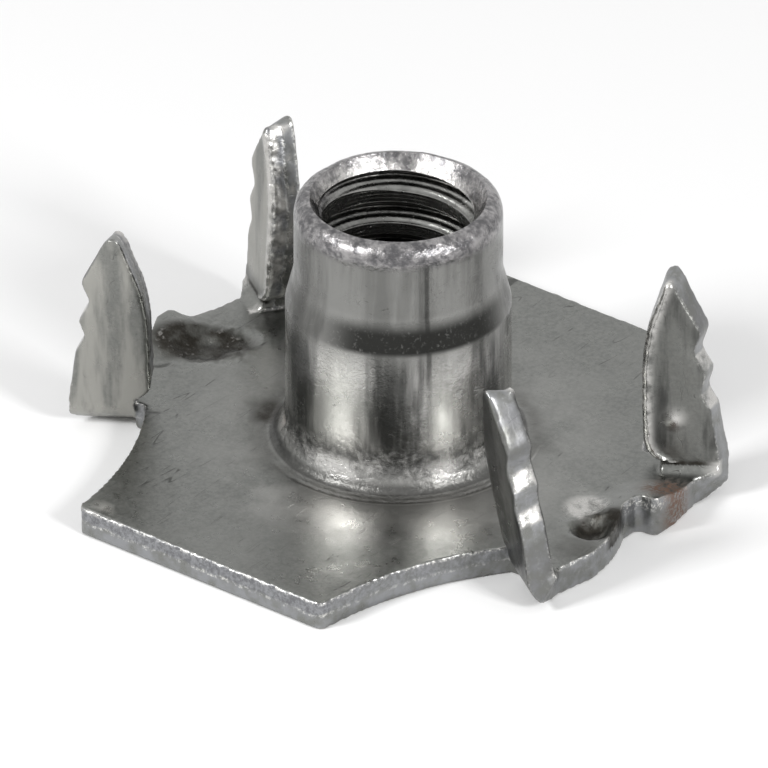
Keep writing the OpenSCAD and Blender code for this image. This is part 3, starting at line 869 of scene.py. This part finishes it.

# The flange: dull sheet with thin wandering scratches, and near the barrel a patch beaten by the
# draw die and painted paler on the front side, a painted reflection of the barrel's lit wall.
scratches = number("MAXIMUM",
                   stripe(noise_lumps(800, 1.5, (1, 0.07, 1), 0.5), 0.5, 0.006, 0.0),
                   stripe(noise_lumps(1100, 1.5, (1, 0.07, 1), -0.9), 0.5, 0.005, 0.0))
scratches = times(scratches, between(mottle, 0.5, 0.62))
front = number("COSINE", number("SUBTRACT", azimuth, FRONT_TURN))
pressed_and_glow = times(between(from_axis, 8.5 * MM, 5.8 * MM), between(clouds, 0.3, 0.55),
                between(front, 0.4, 0.93, 0.2, 0.75))
colour = tinted(between(fine_grain, 0.34, 0.64), DULL, PLAIN)
colour = tinted(between(clouds, 0.4, 0.75, 0.0, 0.5), colour, PLAIN)
colour = tinted(times(scratches, 0.7), colour, SMUT_AND_SHADE)
colour = tinted(pressed_and_glow, colour, PAINTED_SHEEN)

# The blades: brushed along their length, with painted light on those at the -X end and painted
# shade on those at the +X end.
blade_lit = times(blade, between(across, MM, -MM, 0.15, 1.0),
                    between(drawn, 0.4, 0.58, 0.15, 1.0))
blade_shade = times(blade, between(across, -MM, MM, 0.0, 0.9),
                   between(drawn, 0.62, 0.42, 0.25, 1.0))
colour = tinted(blade_lit, colour, LIT_BLADE)
colour = tinted(blade_shade, colour, SHADED)

# The barrel's wall: drawn grey above, and below the step drawn streaks under bright and dark bands
# painted round it as the lamps' reflections, with a dark reflection line painted up it.
barrel_colour = tinted(between(drawn, 0.38, 0.6), DRAWN_DARK, DRAWN)
band_turn = number("SUBTRACT", azimuth, BAND_TURN)
bands = plus(number("COSINE", times(band_turn, 6.0)),
             times(number("COSINE", times(band_turn, 3.0)), 0.35))
bands = plus(drawn, times(bands, 0.15))
lower_wall = times(between(height, 6.8 * MM, 5.2 * MM), 0.8)
barrel_colour = tinted(lower_wall, barrel_colour, tinted(between(bands, 0.34, 0.66), SHADED, PAINTED_HIGHLIGHT))
dark_reflection_line = times(stripe(azimuth, DARK_LINE_TURN, 0.035, 0.01), between(drawn, 0.3, 0.5, 0.5, 1.0),
                   between(height, 4.5 * MM, 6.5 * MM, 0.2, 0.65))
barrel_colour = tinted(dark_reflection_line, barrel_colour, SMUT_AND_SHADE)

# Its foot: galled on the -X side, with a band of painted highlight under painted shade that is
# mottled like beaten metal.
galled_foot = times(between(toward, 0.35, -0.1), between(height, 5.5 * MM, 3.5 * MM))
gall_lines = times(galled_foot, between(galls, 0.53, 0.62))
by_foot = times(between(height, 3.1 * MM, 2.1 * MM), between(from_axis, 5.0 * MM, 4.6 * MM))
foot_highlight = times(within(height, 1.28, 1.55, 1.8, 2.2),
                  between(plus(bands, times(beaten, 0.5)), 0.65, 0.9, 0.1, 1.0))
foot_shade_colour = tinted(between(beaten, 0.4, 0.7), SHADED, PAINTED_SHEEN)
barrel_colour = tinted(times(gall_lines, 0.8), barrel_colour, BURNISH_AND_HIGHLIGHT)
barrel_colour = tinted(times(by_foot, 0.85), barrel_colour,
                       tinted(foot_highlight, foot_shade_colour, PAINTED_HIGHLIGHT))

# Its hammered rim, and a band of painted shade on the front side where the wall steps in to the
# neck.
step_band = times(within(height, 6.2, 6.45, 7.0, 7.6), between(toward, 0.5, 0.85, 0.3, 1.0),
                  on_barrel)
step_shade = times(step_band, between(fine_grain, 0.68, 0.54, 0.45, 1.0))
rim_colour = tinted(between(beaten, 0.4, 0.6), RIM_DARK, RIM_LIGHT)
barrel_colour = tinted(rim, barrel_colour, rim_colour)
barrel_colour = tinted(step_shade, barrel_colour, SMUT_AND_SHADE)
colour = tinted(on_barrel, colour, barrel_colour)

# Painted shade low on the foot, and a painted highlight along the die's ring around it on the
# front side.
foot_low_shade = times(within(height, 1.06, 1.1, 1.25, 1.5), between(from_axis, 4.8 * MM, 4.6 * MM))
ring_highlight = times(stripe(from_axis, 4.96 * MM, 0.06 * MM, 0.02 * MM),
                  between(height, 0.9 * MM, MM), between(toward, 0.3, 0.8),
                  between(clouds, 0.3, 0.55))
colour = tinted(times(foot_low_shade, 0.75), colour, SHADED)
colour = tinted(times(ring_highlight, 0.7), colour, BURNISH_AND_HIGHLIGHT)

# Sheared faces: smooth below, torn above a ragged line, with glints on both their rims.
cut = times(sheared, ragged)
torn_depth = plus(through, times(mottle, 0.3))
torn = times(cut, between(torn_depth, 0.62, 0.74))
tear_line = times(cut, between(torn_depth, 0.56, 0.62), between(torn_depth, 0.74, 0.64))
rim_line = number("MAXIMUM", times(sheared, between(through, 0.84, 0.96)),
                  times(cut, blade, between(through, 0.2, 0.06)))
glints = times(plus(rim_line, times(tear_line, 0.7), clamp=True), between(fine_grain, 0.5, 0.6))
colour = tinted(sheared, colour, tinted(between(mottle, 0.35, 0.65), PLAIN, TORN))
colour = tinted(torn, colour, tinted(between(fine_grain, 0.4, 0.6), TORN_DARK, TORN))
# Edge wear, with painted highlights on the barbs' shelves, the dent, the fold ends and the notch
# rim.
colour = tinted(times(wear_and_highlights, between(mottle, 0.3, 0.55)), colour, BURNISH_AND_HIGHLIGHT)
colour = tinted(glints, colour, GLINT)

# Painted shade and darker patches, the sparkle of hammered metal through them, and rust.
sparkle = times(hammered, between(beaten, 0.54, 0.68), 0.6)
rust_spots = times(between(rusty, 0.1, 0.8), between(fine_grain, 0.4, 0.56))
colour = tinted(times(shade_and_dark_patches, between(mottle, 0.3, 0.56, 0.55, 1.0)), colour, DEEP_SHADE)
colour = tinted(sparkle, colour, BURNISH_AND_HIGHLIGHT)
colour = tinted(rust_spots, colour, tinted(mottle, RUST_DARK, RUST))
links.new(colour, shader.inputs["Base Color"])

rough = between(mottle, 0.3, 0.7, 0.26, 0.38)
for mark, change in ((torn, 0.08), (number("MAXIMUM", on_barrel, wear_and_highlights), -0.08),
                     (step_band, 0.2), (rust_spots, 0.4), (shade_and_dark_patches, 0.12)):
    rough = plus(rough, times(mark, change), clamp=True)
links.new(rough, shader.inputs["Roughness"])
links.new(number("SUBTRACT", 1.0, times(rust_spots, 0.8)), shader.inputs["Metallic"])
around = node("ShaderNodeTangent", direction_type="RADIAL", axis="Z")
links.new(around.outputs["Tangent"], shader.inputs["Tangent"])
links.new(times(number("SUBTRACT", on_barrel, rim, clamp=True), 0.8),
          shader.inputs["Anisotropic"])

# Relief: grain everywhere, scratches, the tap's lines in the bore, galls and beaten metal.
in_bore = times(between(from_axis, 3.35 * MM, 3.25 * MM), between(height, 9.9 * MM, 9.6 * MM))
turns = number("SUBTRACT", number("DIVIDE", height, PITCH * MM),
               number("DIVIDE", azimuth, 2 * math.pi))
tap_lines = number("SINE", times(turns, 2 * math.pi * TAP_LINES))
relief = number("SUBTRACT", times(fine_grain, 0.45), times(scratches, 0.5))
for pattern, where, depth in ((tap_lines, in_bore, 0.7), (galls, on_barrel, 0.8),
                              (galls, times(galled_foot, on_barrel), 4.0),
                              (beaten, rim, 6.0), (beaten, by_foot, 4.0),
                              (beaten, pressed_and_glow, 2.0), (beaten, hammered, 8.0),
                              (mottle, torn, 2.5), (mottle, shade_and_dark_patches, 2.0)):
    relief = plus(relief, times(pattern, where, depth))
bump = node("ShaderNodeBump")
bump.inputs["Strength"].default_value = BUMP
bump.inputs["Distance"].default_value = BUMP_DEPTH
links.new(relief, bump.inputs["Height"])
links.new(bump.outputs["Normal"], shader.inputs["Normal"])

nut.data.materials.clear()
nut.data.materials.append(steel)
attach(nut, "root")
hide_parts("tee_nut")

# ---------------------------------------------------------------- the studio
# A plain white floor and background, with two soft lamps high on either side of the view.
# The sky lights the nut at about half strength, and is seen and mirrored as white.
FLOOR_SIZE, FLOOR_DROP, FLOOR_WHITE = 1.2, 0.00002, (0.95, 0.95, 0.95, 1)
SKY_LIGHT = 0.52
LAMP_FAR, LAMP_SIZE = 0.22, 0.05
LAMPS = ((-60, 38, 0.27), (42, 32, 0.25))

bpy.ops.object.select_all(action="DESELECT")
bpy.ops.mesh.primitive_plane_add(size=FLOOR_SIZE, location=(0, 0, -FLOOR_DROP))
bpy.ops.object.transform_apply(location=True, rotation=False, scale=False)
floor = bpy.context.object
floor.name = "floor"
white = bpy.data.materials.new("floor")
white.use_nodes = True
paint = white.node_tree.nodes["Principled BSDF"]
paint.inputs["Base Color"].default_value = FLOOR_WHITE
paint.inputs["Roughness"].default_value = 1.0
floor.data.materials.append(white)

world = bpy.data.worlds.new("studio")
bpy.context.scene.world = world
world.use_nodes = True
sky = world.node_tree
ray = sky.nodes.new("ShaderNodeLightPath")
seen = ray.outputs["Is Camera Ray"]
for kind in ("Is Glossy Ray", "Is Transmission Ray"):
    either = sky.nodes.new("ShaderNodeMath")
    either.operation = "MAXIMUM"
    sky.links.new(seen, either.inputs[0])
    sky.links.new(ray.outputs[kind], either.inputs[1])
    seen = either.outputs[0]
level = sky.nodes.new("ShaderNodeMapRange")
level.inputs["To Min"].default_value = SKY_LIGHT
level.inputs["To Max"].default_value = 1.0
sky.links.new(seen, level.inputs["Value"])
sky.links.new(level.outputs["Result"], sky.nodes["Background"].inputs["Strength"])
sky.nodes["Background"].inputs["Color"].default_value = (1, 1, 1, 1)

for turn, rise, power in LAMPS:
    way, rise = math.radians(turn) + CAMERA_TURN - math.pi / 2, math.radians(rise)
    place = LAMP_FAR * Vector((math.cos(way) * math.cos(rise), math.sin(way) * math.cos(rise),
                               math.sin(rise)))
    bpy.ops.object.light_add(type="AREA", location=place)
    lamp = bpy.context.object
    lamp.data.size = LAMP_SIZE
    lamp.data.energy = power
    lamp.rotation_euler = place.to_track_quat("Z", "Y").to_euler()
bpy.context.scene.view_settings.view_transform = "Standard"
